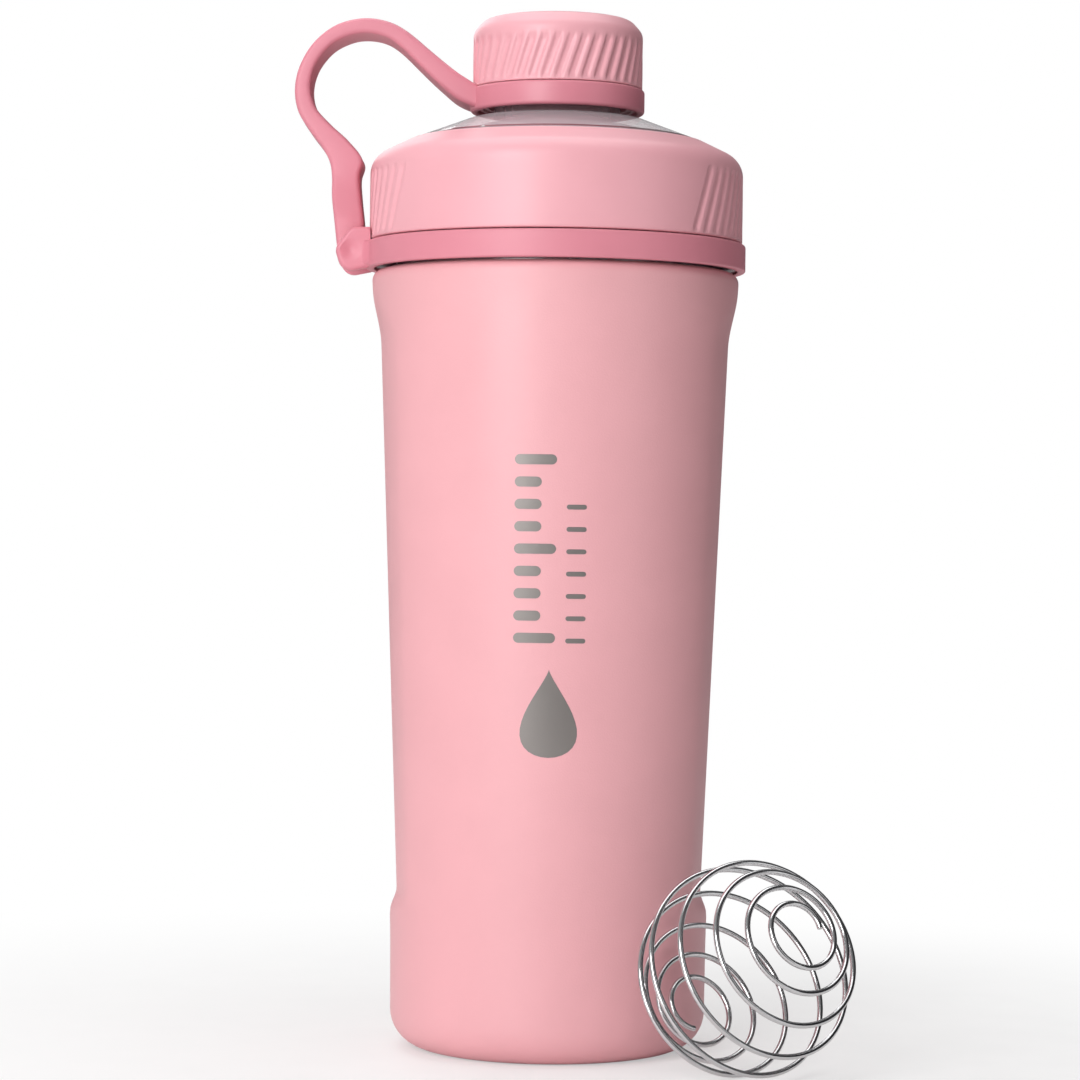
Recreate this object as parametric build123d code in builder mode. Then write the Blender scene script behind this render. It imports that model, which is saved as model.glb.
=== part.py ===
"""Insulated shaker bottle: vacuum body, screw lid, spout cap, swivelling carry loop, whisk ball.

All sizes are millimetres. The origin is the centre of the bottle's underside and +Z is up.
The carry loop stands on the -X side and the whisk ball lies in front of the body, towards -Y.
"""

import os
from math import cos, pi, sin, sqrt

from build123d import *

# Bottle body
BODY_TOP_Z = 183.9
BODY_WIDE_Z = 181.3
BODY_WIDE_R = 43.6
BODY_NARROW_Z = 28.0
BODY_NARROW_R = 37.5
FOOT_R = 28.5
FOOT_CORNER = 8.8
SHOULDER_ROUND = 2.6
SHELL_WALL = 0.8
BOTTOM_HOLE_R = 26.5
BOTTOM_FLANGE_Z = 2.4

# Disc that closes the bottom, flush with the standing ring, and the getter on it
DISC_FLAT_R = 23.5
DISC_WALL = 1.2
DISC_SLOPE_SHIFT = 0.6
GETTER_R = 6.0
GETTER_HEIGHT = 1.2
GETTER_EDGE = 0.3

# Grip panels on the +X and -X sides
PANEL_DEPTH = 1.8
PANEL_CURVE_R = 59.0
PANEL_HALF_Y = 26.0
PANEL_REACH_X = 60.0
PANEL_CLEAR = -0.15
PANEL_LEVELS = (
    (31.0, PANEL_CLEAR), (37.0, PANEL_DEPTH), (167.0, PANEL_DEPTH), (182.2, PANEL_CLEAR),
)

# Liner and its threaded neck
LINER_WALL = 0.7
LINER_FLOOR_Z = 6.0
LINER_CORNER = 9.7
LINER_FOOT_R = 32.3
NECK_R = 38.6
NECK_START_Z = 174.0
RIM_Z = 206.5
RIM_ROUND = 0.3

# Lid thread: two starts, three full turns lift the lid clear of the neck
LID_LEAD = 12.0
LID_STARTS = 2
LID_THREAD_TURN_Z = 12.0
NECK_RIDGE_Z = 190.0
NECK_RIDGE_DEPTH = 1.2
LID_RIDGE_Z = NECK_RIDGE_Z - LID_LEAD / LID_STARTS / 2
LID_RIDGE_ROOT = 2.2
LID_RIDGE_CREST = 1.1

# Clear lid moulding
SKIRT_R = 42.2
SKIRT_BORE_R = 40.2
SKIRT_BOTTOM_Z = 184.6
BEAD_R = 42.9
BEAD_HEIGHT = 0.4
LID_SHOULDER_Z = 206.6
LID_SHOULDER = ((41.0, 209.3), (38.4, 211.4))
SEAT_Z = 208.6
PLUG_OUTER_R = 36.9
PLUG_INNER_R = 35.4
PLUG_BOTTOM_Z = 205.3
SEAL_GAP_R = 0.1
SEAL_GAP_Z = 0.05
SEAL_EDGE = 0.4
DOME_EDGE_R = 34.1
DOME_FOOT_Z = 213.2
DOME_EDGE_Z = 214.7
DOME_TOP_R = 20.5
DOME_TOP_Z = 220.1
DOME_UNDERSIDE = ((14.0, 218.5), (19.0, 218.2), (33.4, 213.2))
SPOUT_R = 15.0
SPOUT_BORE_R = 12.6
SPOUT_TOP_Z = 238.5
SPOUT_ROOT_Z = 219.2
SPOUT_EDGE = 0.4

# Spout thread: two starts, five full turns lift the cap clear of the spout
CAP_LEAD = 6.0
CAP_STARTS = 2
CAP_THREAD_Z = 9.0
SPOUT_RIDGE_Z = 227.0
CAP_RIDGE_Z = SPOUT_RIDGE_Z - CAP_LEAD / CAP_STARTS / 2
CAP_RIDGE_DEPTH = 1.1
CAP_RIDGE_ROOT = 1.2
CAP_RIDGE_CREST = 0.6
RIDGE_SINK = 0.3

# Collar
COLLAR_R = 44.3
COLLAR_BOTTOM_Z = 190.8
COLLAR_SHOULDER_Z = 206.2
COLLAR_SHOULDER_END = (40.2, 212.2)
COLLAR_LIP_R = 34.3
COLLAR_LIP_Z = 214.9
COLLAR_FIT = 0.05
COLLAR_EDGE = 0.4
RIB_PITCH_DEG = 4.9
RIB_GROOVES = 16
RIB_FIRST_DEG = -44.0
RIB_LEAN_DEG = 7.6
RIB_GROOVE_R = 1.35
RIB_GROOVE_SINK = 0.45
RIB_BOTTOM_Z = 191.6
RIB_TOP_Z = 206.6

# Carry ring and its knuckle
RING_BORE_R = 42.28
RING_R = 45.1
RING_BOTTOM_Z = 184.1
RING_TOP_Z = 190.5
RING_RELIEF_R = 43.1
RING_RELIEF_Z = 185.4
RING_EDGE = 0.6
RING_STEP = 2.0
PIVOT_X = -48.7
PIVOT_Z = 188.6
KNUCKLE_CIRCLES = (
    (PIVOT_X + 0.1, PIVOT_Z, 3.2),
    (-48.4, 186.5, 3.2),
    (-47.0, 191.0, 2.7),
    (-44.2, 192.2, 1.5),
    (-44.6, 185.0, 1.5),
)
KNUCKLE_HALF_Y = 8.5
KNUCKLE_EDGE = 1.0
SLOT_HALF_Y = 5.3
SLOT_FLOOR_X = -45.2
SLOT_LENGTH = 20.0
SLOT_HEIGHT = 30.0
KNUCKLE_CLEAR_R = 44.8
KNUCKLE_GAP_Z = 0.05
PIN_R = 1.9
PIN_RUNNING_GAP = 0.06
PIN_HALF_Y = 7.7
PIN_EDGE = 0.2
DIMPLE_R = 5.0
DIMPLE_DEPTH = 0.7

# Carry loop
LOOP_HALF_Y = 7.6
TANG_HALF_Y = 5.1
TANG_R = 3.1
TANG_TOP_Z = 196.0
TANG_ROOTS = ((-51.3, 199.0, 1.0), (-48.9, 199.0, 1.0))
STRAP_END_X = -17.0
STRAP_END_Z = 222.4
CAP_RING_R = 20.7
CAP_RING_BORE_R = 18.95
CAP_RING_BOTTOM_Z = 221.55
CAP_RING_TOP_Z = 227.15
CAP_RING_EDGE = 0.7

# Spout cap
CAP_R = 20.15
CAP_NECK_R = 18.7
CAP_BOTTOM_Z = 222.4
CAP_LEDGE_Z = 227.3
CAP_RIB_TOP_Z = 238.4
CAP_ROUND_Z = 239.2
CAP_TOP_R = 15.2
CAP_TOP_Z = 244.0
CAP_CROWN = 0.15
CAP_EDGE = 0.3
CAP_RIBS = 40
CAP_RIB_LEAN_DEG = 10.2
CAP_FLUTE_R = 1.05
CAP_FLUTE_SINK = 0.45
CORE_R = 17.6
CORE_BORE_R = 16.4
CORE_BOTTOM_Z = 222.8
CORE_TOP_Z = 241.6
CORE_CEILING_Z = 240.2
GASKET_R = 16.2
GASKET_GAP = 0.05

# Whisk ball
BALL_R = 24.5
WIRE_R = 0.65
BALL_TURNS = 8.7
BALL_CROWDING = 0.4
BALL_CENTRE = (44.4, -46.5, 24.5)
BALL_POLE = (0.46, -0.75, 0.48)
END_LOOP_R = 5.3
BALL_POINTS_PER_TURN = 14

os.makedirs("parts", exist_ok=True)


def body_radius(z):
    """Return the body's outer radius at height z, without the grip panels."""
    slope = (BODY_WIDE_R - BODY_NARROW_R) / (BODY_WIDE_Z - BODY_NARROW_Z)
    return BODY_NARROW_R + max(z - BODY_NARROW_Z, -8.0) * slope


def panel_cutter(skin):
    """Return the solid that carves the +X grip panel into a wall that lies `skin` inside."""
    drop = PANEL_CURVE_R - sqrt(PANEL_CURVE_R**2 - PANEL_HALF_Y**2)
    with BuildPart() as cutter:
        for z, sink in PANEL_LEVELS:
            face_x = body_radius(z) - sink - skin
            edge_x = face_x - drop
            with BuildSketch(Plane.XY.offset(z)):
                with BuildLine():
                    ThreePointArc((edge_x, -PANEL_HALF_Y), (face_x, 0), (edge_x, PANEL_HALF_Y))
                    Polyline(
                        (edge_x, PANEL_HALF_Y),
                        (PANEL_REACH_X, PANEL_HALF_Y),
                        (PANEL_REACH_X, -PANEL_HALF_Y),
                        (edge_x, -PANEL_HALF_Y),
                    )
                make_face()
        loft(ruled=True)
    return cutter.part


def thread_ridge(wall_r, depth, root, crest, lead, height, z_start):
    """Return one helical ridge on a wall. A negative depth points it inwards."""
    sink = -RIDGE_SINK if depth > 0 else RIDGE_SINK
    with BuildPart() as ridge:
        with BuildLine() as path:
            Helix(pitch=lead, height=height, radius=wall_r, center=(0, 0, z_start))
        start = Plane(origin=path.line @ 0, x_dir=(1, 0, 0), z_dir=path.line % 0)
        with BuildSketch(start):
            Polygon(
                (sink, -root / 2),
                (0, -root / 2),
                (depth, -crest / 2),
                (depth, crest / 2),
                (0, root / 2),
                (sink, root / 2),
                align=None,
            )
        sweep(path=path.line, is_frenet=True)
    return ridge.part


def leaning_rods(sketch, bottom_z, top_z, lean_deg):
    """Return the sketch's shapes raised to top_z while they turn lean_deg to the right."""
    rods = []
    for face in sketch.faces():
        rods.append(
            Solid.extrude_linear_with_rotation(
                face, center=(0, 0, bottom_z), normal=(0, 0, top_z - bottom_z), angle=-lean_deg
            )
        )
    return rods


# ---------------------------------------------------------------- bottle body

with BuildPart() as vacuum_space:
    with BuildSketch(Plane.XZ):
        with BuildLine():
            Polyline(
                (0, BOTTOM_FLANGE_Z),
                (BOTTOM_HOLE_R + SHELL_WALL, BOTTOM_FLANGE_Z),
                (BOTTOM_HOLE_R + SHELL_WALL, SHELL_WALL),
                (FOOT_R, SHELL_WALL),
            )
            TangentArc(
                (FOOT_R, SHELL_WALL),
                (FOOT_R + FOOT_CORNER - SHELL_WALL, FOOT_CORNER),
                tangent=(1, 0),
            )
            Polyline(
                (FOOT_R + FOOT_CORNER - SHELL_WALL, FOOT_CORNER),
                (BODY_NARROW_R - SHELL_WALL, BODY_NARROW_Z),
                (BODY_WIDE_R - SHELL_WALL, BODY_WIDE_Z),
            )
            TangentArc(
                (BODY_WIDE_R - SHELL_WALL, BODY_WIDE_Z),
                (BODY_WIDE_R - SHOULDER_ROUND, BODY_TOP_Z - SHELL_WALL),
                tangent=(0, 1),
            )
            Polyline(
                (BODY_WIDE_R - SHOULDER_ROUND, BODY_TOP_Z - SHELL_WALL),
                (0, BODY_TOP_Z - SHELL_WALL),
                (0, BOTTOM_FLANGE_Z),
            )
        make_face()
    revolve(axis=Axis.Z)
    add(panel_cutter(SHELL_WALL), mode=Mode.SUBTRACT)
    mirror(panel_cutter(SHELL_WALL), about=Plane.YZ, mode=Mode.SUBTRACT)

with BuildPart() as outer_shell:
    with BuildSketch(Plane.XZ):
        with BuildLine():
            Line((0, 0), (FOOT_R, 0))
            TangentArc((FOOT_R, 0), (FOOT_R + FOOT_CORNER, FOOT_CORNER), tangent=(1, 0))
            Polyline(
                (FOOT_R + FOOT_CORNER, FOOT_CORNER),
                (BODY_NARROW_R, BODY_NARROW_Z),
                (BODY_WIDE_R, BODY_WIDE_Z),
            )
            TangentArc(
                (BODY_WIDE_R, BODY_WIDE_Z),
                (BODY_WIDE_R - SHOULDER_ROUND, BODY_TOP_Z),
                tangent=(0, 1),
            )
            Polyline((BODY_WIDE_R - SHOULDER_ROUND, BODY_TOP_Z), (0, BODY_TOP_Z), (0, 0))
        make_face()
    revolve(axis=Axis.Z)
    add(panel_cutter(0), mode=Mode.SUBTRACT)
    mirror(panel_cutter(0), about=Plane.YZ, mode=Mode.SUBTRACT)
    add(vacuum_space.part, mode=Mode.SUBTRACT)
    with BuildSketch(Plane.XY):
        Circle(BOTTOM_HOLE_R)
    extrude(amount=BOTTOM_FLANGE_Z, mode=Mode.SUBTRACT)
    with BuildSketch(Plane.XY.offset(BODY_TOP_Z)):
        Circle(NECK_R)
    extrude(amount=-SHELL_WALL, mode=Mode.SUBTRACT)

with BuildPart() as inner_liner:
    with BuildSketch(Plane.XZ):
        with BuildLine():
            Line((0, LINER_FLOOR_Z), (LINER_FOOT_R - LINER_CORNER, LINER_FLOOR_Z))
            TangentArc(
                (LINER_FOOT_R - LINER_CORNER, LINER_FLOOR_Z),
                (LINER_FOOT_R, LINER_FLOOR_Z + LINER_CORNER),
                tangent=(1, 0),
            )
            Polyline(
                (LINER_FOOT_R, LINER_FLOOR_Z + LINER_CORNER),
                (NECK_R, NECK_START_Z),
                (NECK_R, RIM_Z - RIM_ROUND),
                (NECK_R - RIM_ROUND, RIM_Z),
                (NECK_R - LINER_WALL, RIM_Z),
                (NECK_R - LINER_WALL, NECK_START_Z),
                (LINER_FOOT_R - LINER_WALL, LINER_FLOOR_Z + LINER_CORNER),
            )
            TangentArc(
                (LINER_FOOT_R - LINER_CORNER, LINER_FLOOR_Z + LINER_WALL),
                (LINER_FOOT_R - LINER_WALL, LINER_FLOOR_Z + LINER_CORNER),
                tangent=(1, 0),
            )
            Polyline(
                (LINER_FOOT_R - LINER_CORNER, LINER_FLOOR_Z + LINER_WALL),
                (0, LINER_FLOOR_Z + LINER_WALL),
                (0, LINER_FLOOR_Z),
            )
        make_face()
    revolve(axis=Axis.Z)
    neck_ridge = thread_ridge(
        NECK_R, NECK_RIDGE_DEPTH, LID_RIDGE_ROOT, LID_RIDGE_CREST, LID_LEAD, LID_THREAD_TURN_Z,
        NECK_RIDGE_Z,
    )
    with PolarLocations(0, LID_STARTS):
        add(neck_ridge)

with BuildPart() as outer_bottom:
    with BuildSketch(Plane.XZ):
        Polygon(
            (0, 0),
            (DISC_FLAT_R, 0),
            (DISC_FLAT_R + DISC_WALL, DISC_WALL),
            (BOTTOM_HOLE_R, DISC_WALL),
            (BOTTOM_HOLE_R, BOTTOM_FLANGE_Z),
            (DISC_FLAT_R + DISC_SLOPE_SHIFT, BOTTOM_FLANGE_Z),
            (DISC_FLAT_R - DISC_SLOPE_SHIFT, DISC_WALL),
            (0, DISC_WALL),
            align=None,
        )
    revolve(axis=Axis.Z)

with BuildPart() as vacuum_getter:
    with BuildSketch(Plane.XY.offset(DISC_WALL)):
        Circle(GETTER_R)
    extrude(amount=GETTER_HEIGHT)
    chamfer(vacuum_getter.faces().sort_by(Axis.Z)[-1].edges(), length=GETTER_EDGE)

# ---------------------------------------------------------------- lid

with BuildPart() as lid_body:
    with BuildSketch(Plane.XZ):
        Polygon(
            (SKIRT_BORE_R, SKIRT_BOTTOM_Z),
            (BEAD_R, SKIRT_BOTTOM_Z),
            (BEAD_R, SKIRT_BOTTOM_Z + BEAD_HEIGHT),
            (SKIRT_R, SKIRT_BOTTOM_Z + 2 * BEAD_HEIGHT),
            (SKIRT_R, LID_SHOULDER_Z),
            *LID_SHOULDER,
            (DOME_EDGE_R, DOME_FOOT_Z),
            (DOME_EDGE_R, DOME_EDGE_Z),
            (DOME_TOP_R, DOME_TOP_Z),
            (SPOUT_R, DOME_TOP_Z + SPOUT_EDGE),
            (SPOUT_R, SPOUT_TOP_Z - SPOUT_EDGE),
            (SPOUT_R - SPOUT_EDGE, SPOUT_TOP_Z),
            (SPOUT_BORE_R + SPOUT_EDGE, SPOUT_TOP_Z),
            (SPOUT_BORE_R, SPOUT_TOP_Z - SPOUT_EDGE),
            (SPOUT_BORE_R, SPOUT_ROOT_Z),
            *DOME_UNDERSIDE,
            (PLUG_INNER_R, LID_SHOULDER[-1][1] - COLLAR_EDGE),
            (PLUG_INNER_R, PLUG_BOTTOM_Z),
            (PLUG_OUTER_R, PLUG_BOTTOM_Z),
            (PLUG_OUTER_R, SEAT_Z),
            (SKIRT_BORE_R, SEAT_Z),
            align=None,
        )
    revolve(axis=Axis.Z)
    lid_ridge = thread_ridge(
        SKIRT_BORE_R, -NECK_RIDGE_DEPTH, LID_RIDGE_ROOT, LID_RIDGE_CREST, LID_LEAD,
        LID_THREAD_TURN_Z, LID_RIDGE_Z,
    )
    with PolarLocations(0, LID_STARTS):
        add(lid_ridge)
    spout_ridge = thread_ridge(
        SPOUT_R, CAP_RIDGE_DEPTH, CAP_RIDGE_ROOT, CAP_RIDGE_CREST, CAP_LEAD, CAP_THREAD_Z,
        SPOUT_RIDGE_Z,
    )
    with PolarLocations(0, CAP_STARTS):
        add(spout_ridge)

with BuildSketch(Plane.XY.offset(RIB_BOTTOM_Z)) as collar_grooves:
    for side_deg in (0, 180):
        with PolarLocations(
            COLLAR_R + RIB_GROOVE_R - RIB_GROOVE_SINK,
            RIB_GROOVES,
            start_angle=RIB_FIRST_DEG + side_deg,
            angular_range=RIB_PITCH_DEG * (RIB_GROOVES - 1),
            endpoint=True,
        ):
            Circle(RIB_GROOVE_R)

with BuildPart() as lid_collar:
    with BuildSketch(Plane.XZ):
        with BuildLine():
            Polyline(
                COLLAR_SHOULDER_END,
                (COLLAR_LIP_R, COLLAR_LIP_Z),
                (COLLAR_LIP_R, DOME_FOOT_Z + 2 * COLLAR_FIT),
                *[(r + COLLAR_FIT, z + 2 * COLLAR_FIT) for r, z in reversed(LID_SHOULDER)],
                (SKIRT_R + COLLAR_FIT, LID_SHOULDER_Z + 2 * COLLAR_FIT),
                (SKIRT_R + COLLAR_FIT, COLLAR_BOTTOM_Z),
                (COLLAR_R - COLLAR_EDGE, COLLAR_BOTTOM_Z),
                (COLLAR_R, COLLAR_BOTTOM_Z + COLLAR_EDGE),
                (COLLAR_R, COLLAR_SHOULDER_Z),
            )
            TangentArc((COLLAR_R, COLLAR_SHOULDER_Z), COLLAR_SHOULDER_END, tangent=(0, 1))
        make_face()
    revolve(axis=Axis.Z)
    for rod in leaning_rods(collar_grooves.sketch, RIB_BOTTOM_Z, RIB_TOP_Z, RIB_LEAN_DEG):
        add(rod, mode=Mode.SUBTRACT)

with BuildPart() as lid_seal:
    with BuildSketch(Plane.XZ):
        Polygon(
            (PLUG_OUTER_R + SEAL_GAP_R, RIM_Z + SEAL_GAP_Z),
            (SKIRT_BORE_R - SEAL_GAP_R, RIM_Z + SEAL_GAP_Z),
            (SKIRT_BORE_R - SEAL_GAP_R, SEAT_Z - SEAL_GAP_Z),
            (PLUG_OUTER_R + SEAL_GAP_R, SEAT_Z - SEAL_GAP_Z),
            align=None,
        )
    revolve(axis=Axis.Z)
    fillet(lid_seal.edges(), radius=SEAL_EDGE)

# ---------------------------------------------------------------- spout cap

with BuildSketch(Plane.XY.offset(CAP_LEDGE_Z)) as cap_flutes:
    with PolarLocations(CAP_R + CAP_FLUTE_R - CAP_FLUTE_SINK, CAP_RIBS):
        Circle(CAP_FLUTE_R)

with BuildPart() as spout_cap:
    with BuildSketch(Plane.XZ):
        with BuildLine():
            Polyline(
                (CAP_TOP_R, CAP_TOP_Z - CAP_CROWN),
                (0, CAP_TOP_Z),
                (0, CORE_TOP_Z),
                (CORE_R, CORE_TOP_Z),
                (CORE_R, CAP_BOTTOM_Z),
                (CAP_NECK_R - CAP_EDGE, CAP_BOTTOM_Z),
                (CAP_NECK_R, CAP_BOTTOM_Z + CAP_EDGE),
                (CAP_NECK_R, CAP_LEDGE_Z),
                (CAP_R, CAP_LEDGE_Z),
                (CAP_R, CAP_ROUND_Z),
            )
            TangentArc((CAP_R, CAP_ROUND_Z), (CAP_TOP_R, CAP_TOP_Z - CAP_CROWN), tangent=(0, 1))
        make_face()
    revolve(axis=Axis.Z)
    for rod in leaning_rods(cap_flutes.sketch, CAP_LEDGE_Z, CAP_RIB_TOP_Z, CAP_RIB_LEAN_DEG):
        add(rod, mode=Mode.SUBTRACT)

with BuildPart() as cap_core:
    with BuildSketch(Plane.XZ):
        Polygon(
            (0, CORE_CEILING_Z), (CORE_BORE_R, CORE_CEILING_Z), (CORE_BORE_R, CORE_BOTTOM_Z),
            (CORE_R, CORE_BOTTOM_Z), (CORE_R, CORE_TOP_Z), (0, CORE_TOP_Z),
            align=None,
        )
    revolve(axis=Axis.Z)
    core_ridge = thread_ridge(
        CORE_BORE_R, -CAP_RIDGE_DEPTH, CAP_RIDGE_ROOT, CAP_RIDGE_CREST, CAP_LEAD, CAP_THREAD_Z,
        CAP_RIDGE_Z,
    )
    with PolarLocations(0, CAP_STARTS):
        add(core_ridge)

with BuildPart() as cap_gasket:
    with BuildSketch(Plane.XY.offset(SPOUT_TOP_Z + GASKET_GAP)):
        Circle(GASKET_R)
    extrude(amount=CORE_CEILING_Z - SPOUT_TOP_Z - 2 * GASKET_GAP)

# ---------------------------------------------------------------- carry ring and loop

with BuildPart() as carry_ring:
    with BuildSketch(Plane.XZ):
        with BuildLine():
            FilletPolyline(
                (RING_BORE_R, RING_TOP_Z - RING_STEP),
                (RING_BORE_R, RING_TOP_Z),
                (RING_R, RING_TOP_Z),
                (RING_R, RING_BOTTOM_Z),
                (RING_RELIEF_R, RING_BOTTOM_Z),
                radius=RING_EDGE,
            )
            Polyline(
                (RING_RELIEF_R, RING_BOTTOM_Z),
                (RING_RELIEF_R, RING_RELIEF_Z),
                (RING_BORE_R, RING_RELIEF_Z),
                (RING_BORE_R, RING_TOP_Z - RING_STEP),
            )
        make_face()
    revolve(axis=Axis.Z)

with BuildPart() as knuckle:
    with BuildSketch(Plane.XZ):
        for x, z, radius in KNUCKLE_CIRCLES:
            with Locations((x, z)):
                Circle(radius)
        make_hull()
    extrude(amount=KNUCKLE_HALF_Y, both=True)
    fillet(knuckle.faces().filter_by(Axis.Y).edges(), radius=KNUCKLE_EDGE)
    # Clear the body below the ring, the collar above it and the ring's own bore
    with BuildSketch(Plane.XY.offset(RING_BOTTOM_Z - KNUCKLE_GAP_Z)):
        Circle(KNUCKLE_CLEAR_R)
    extrude(amount=-KNUCKLE_HALF_Y, mode=Mode.SUBTRACT)
    with BuildSketch(Plane.XY.offset(RING_TOP_Z + KNUCKLE_GAP_Z)):
        Circle(KNUCKLE_CLEAR_R)
    extrude(amount=KNUCKLE_HALF_Y, mode=Mode.SUBTRACT)
    with BuildSketch(Plane.XY.offset(RING_BOTTOM_Z)):
        Circle(RING_R - KNUCKLE_EDGE)
    extrude(amount=KNUCKLE_HALF_Y, both=True, mode=Mode.SUBTRACT)
    with BuildSketch(Plane.XZ):
        with Locations((SLOT_FLOOR_X, PIVOT_Z)):
            Rectangle(SLOT_LENGTH, SLOT_HEIGHT, align=(Align.MAX, Align.CENTER))
    extrude(amount=SLOT_HALF_Y, both=True, mode=Mode.SUBTRACT)
    with BuildSketch(Plane.XZ):
        with Locations((PIVOT_X, PIVOT_Z)):
            Circle(PIN_R)
    extrude(amount=KNUCKLE_HALF_Y, both=True, mode=Mode.SUBTRACT)
    for side in (-1, 1):
        dimple_y = side * (KNUCKLE_HALF_Y - DIMPLE_DEPTH + DIMPLE_R)
        with Locations((PIVOT_X, dimple_y, PIVOT_Z)):
            Sphere(DIMPLE_R, mode=Mode.SUBTRACT)

with carry_ring:
    add(knuckle.part)

with BuildPart() as hinge_pin:
    with BuildSketch(Plane.XZ):
        with Locations((PIVOT_X, PIVOT_Z)):
            Circle(PIN_R)
    extrude(amount=PIN_HALF_Y, both=True)
    chamfer(hinge_pin.faces().filter_by(Axis.Y).edges(), length=PIN_EDGE)

with BuildPart() as loop_strap:
    with BuildSketch(Plane.XZ):
        with BuildLine():
            # Outer edge, from the foot up, over the top and down to the cap ring
            Line((-52.7, TANG_TOP_Z), (-53.1, 205.0))
            ThreePointArc((-53.1, 205.0), (-54.4, 210.8), (-57.3, 214.4))
            ThreePointArc((-57.3, 214.4), (-62.1, 226.0), (-57.6, 237.1))
            ThreePointArc((-57.6, 237.1), (-46.8, 242.9), (-36.4, 240.5))
            Polyline(
                (-36.4, 240.5),
                (STRAP_END_X, 224.7),
                (STRAP_END_X, STRAP_END_Z),
                (-22.6, STRAP_END_Z),
                (-34.6, 234.0),
            )
            # Inner edge, back over the top and down to the foot
            ThreePointArc((-34.6, 234.0), (-43.5, 239.4), (-53.9, 236.2))
            ThreePointArc((-53.9, 236.2), (-58.4, 227.4), (-54.9, 219.0))
            ThreePointArc((-54.9, 219.0), (-50.0, 214.8), (-46.1, 209.3))
            ThreePointArc((-46.1, 209.3), (-46.6, 204.5), (-45.7, TANG_TOP_Z))
            Line((-45.7, TANG_TOP_Z), (-52.7, TANG_TOP_Z))
        make_face()
    extrude(amount=LOOP_HALF_Y, both=True)

with BuildPart() as carry_loop:
    with BuildSketch(Plane.XZ):
        with Locations(
            ((CAP_RING_BORE_R + CAP_RING_R) / 2, (CAP_RING_BOTTOM_Z + CAP_RING_TOP_Z) / 2)
        ):
            RectangleRounded(
                CAP_RING_R - CAP_RING_BORE_R, CAP_RING_TOP_Z - CAP_RING_BOTTOM_Z, CAP_RING_EDGE
            )
    revolve(axis=Axis.Z)
    add(loop_strap.part)
    with BuildSketch(Plane.XZ):
        for x, z, radius in ((PIVOT_X, PIVOT_Z, TANG_R), *TANG_ROOTS):
            with Locations((x, z)):
                Circle(radius)
        make_hull()
    extrude(amount=TANG_HALF_Y, both=True)
    with BuildSketch(Plane.XZ):
        with Locations((PIVOT_X, PIVOT_Z)):
            Circle(PIN_R + PIN_RUNNING_GAP)
    extrude(amount=TANG_HALF_Y, both=True, mode=Mode.SUBTRACT)
    with BuildSketch(Plane.XY.offset(CAP_RING_BOTTOM_Z)):
        Circle(CAP_RING_BORE_R)
    extrude(amount=CAP_RING_TOP_Z - CAP_RING_BOTTOM_Z, both=True, mode=Mode.SUBTRACT)

# ---------------------------------------------------------------- whisk ball


def ball_wire_point(share):
    """Return the wire's centre at a share of its turns, with coils closer at the poles."""
    path_r = BALL_R - WIRE_R
    first = END_LOOP_R / path_r
    eased = share - BALL_CROWDING * sin(2 * pi * share) / (2 * pi)
    polar = first + (pi - 2 * first) * eased
    turn = 2 * pi * BALL_TURNS * share
    return (
        path_r * sin(polar) * cos(turn),
        path_r * sin(polar) * sin(turn),
        path_r * cos(polar),
    )


with BuildPart() as whisk_ball:
    ball_frame = Plane(origin=BALL_CENTRE, z_dir=BALL_POLE)
    count = int(BALL_TURNS * BALL_POINTS_PER_TURN)
    with BuildLine(ball_frame) as wire_path:
        Spline([ball_wire_point(i / count) for i in range(count + 1)])
    with BuildSketch(Plane(origin=wire_path.line @ 0, z_dir=wire_path.line % 0)):
        Circle(WIRE_R)
    sweep(path=wire_path.line, is_frenet=True)

# ---------------------------------------------------------------- files

PIECES = {
    "outer_shell": outer_shell,
    "inner_liner": inner_liner,
    "outer_bottom": outer_bottom,
    "vacuum_getter": vacuum_getter,
    "lid_body": lid_body,
    "lid_collar": lid_collar,
    "lid_seal": lid_seal,
    "spout_cap": spout_cap,
    "cap_core": cap_core,
    "cap_gasket": cap_gasket,
    "carry_ring": carry_ring,
    "hinge_pin": hinge_pin,
    "carry_loop": carry_loop,
    "whisk_ball": whisk_ball,
}

for label, piece in PIECES.items():
    piece.part.label = label
    export_step(piece.part, f"parts/{label}.step")
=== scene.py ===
"""The looks of the insulated shaker bottle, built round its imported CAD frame. Blender 4.5.

The row frame has +Z up, the carry loop on the -X side and the camera on the -Y side. Pieces are
drawn in millimetres and scaled by MM when their mesh is made. Lights, the camera and the
materials are in metres. A corner of an outline is (radius or x, height, corner radius).
"""

import math

import bmesh
import bpy
from mathutils import Matrix, Vector


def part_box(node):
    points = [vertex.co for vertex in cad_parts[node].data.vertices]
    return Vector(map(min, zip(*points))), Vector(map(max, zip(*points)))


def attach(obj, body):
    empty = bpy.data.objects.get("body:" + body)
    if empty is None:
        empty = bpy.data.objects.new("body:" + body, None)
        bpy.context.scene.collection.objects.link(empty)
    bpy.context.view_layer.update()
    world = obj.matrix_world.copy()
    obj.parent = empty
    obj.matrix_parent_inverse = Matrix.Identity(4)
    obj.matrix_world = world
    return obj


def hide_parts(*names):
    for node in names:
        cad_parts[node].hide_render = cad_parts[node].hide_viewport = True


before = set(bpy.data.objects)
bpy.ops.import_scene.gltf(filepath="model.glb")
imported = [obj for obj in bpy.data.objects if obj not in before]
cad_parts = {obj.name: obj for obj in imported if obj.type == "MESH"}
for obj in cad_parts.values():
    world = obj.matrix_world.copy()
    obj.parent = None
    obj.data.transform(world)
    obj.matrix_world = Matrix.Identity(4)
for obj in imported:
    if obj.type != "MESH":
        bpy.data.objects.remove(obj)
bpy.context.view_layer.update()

MM = 0.001

# ------------------------------------------------------------------ driving dimensions, mm


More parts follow.
